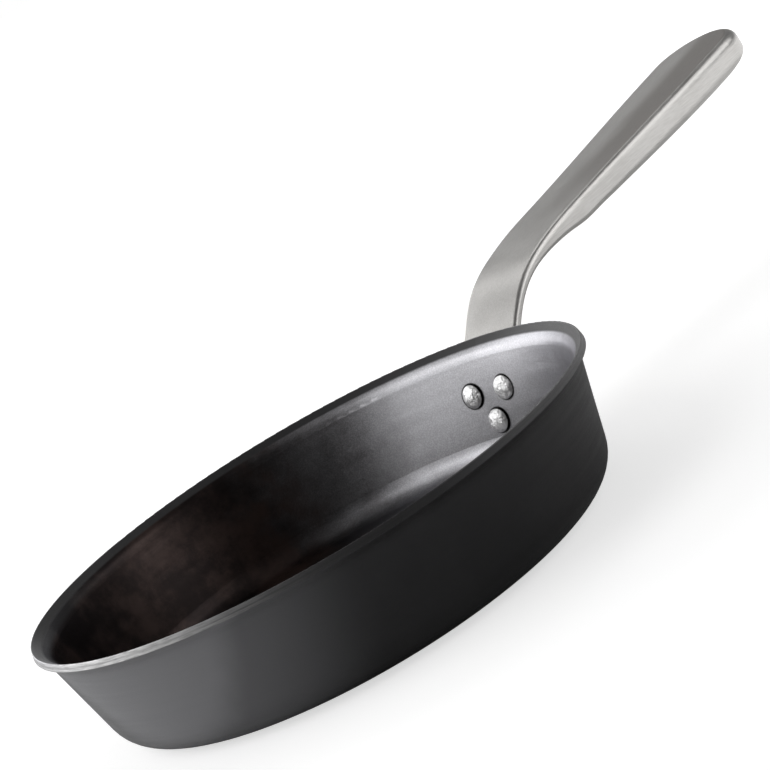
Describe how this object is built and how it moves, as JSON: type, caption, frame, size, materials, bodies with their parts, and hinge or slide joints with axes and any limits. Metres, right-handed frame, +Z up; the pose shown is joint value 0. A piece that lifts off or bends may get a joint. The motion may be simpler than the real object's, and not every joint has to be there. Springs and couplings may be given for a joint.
{
  "type": "omelette pan",
  "caption": "Round omelette pan with a flat base, a leaning wall, a turned-out lip and a long upswept handle with a hollow underside, riveted to the wall.",
  "frame": {"origin": "centre of the flat underside, on the surface the pan stands on", "axes": "+Z up, +X from the pan's centre along the handle, +Y completes the frame; left and right are seen from the pan's centre looking along the handle"},
  "size_m": [0.3893, 0.2002, 0.0745],
  "materials": {
    "pan": "dark satin, worn to bare metal at the lip's edge",
    "handle": "satin, rubbed bright along the edges",
    "rivets": "bare, hammered"
  },
  "bodies": {
    "root": {"pan_body": "pan", "handle": "handle", "rivet_upper_left": "rivets", "rivet_upper_right": "rivets", "rivet_lower": "rivets"}
  },
  "joints": []
}
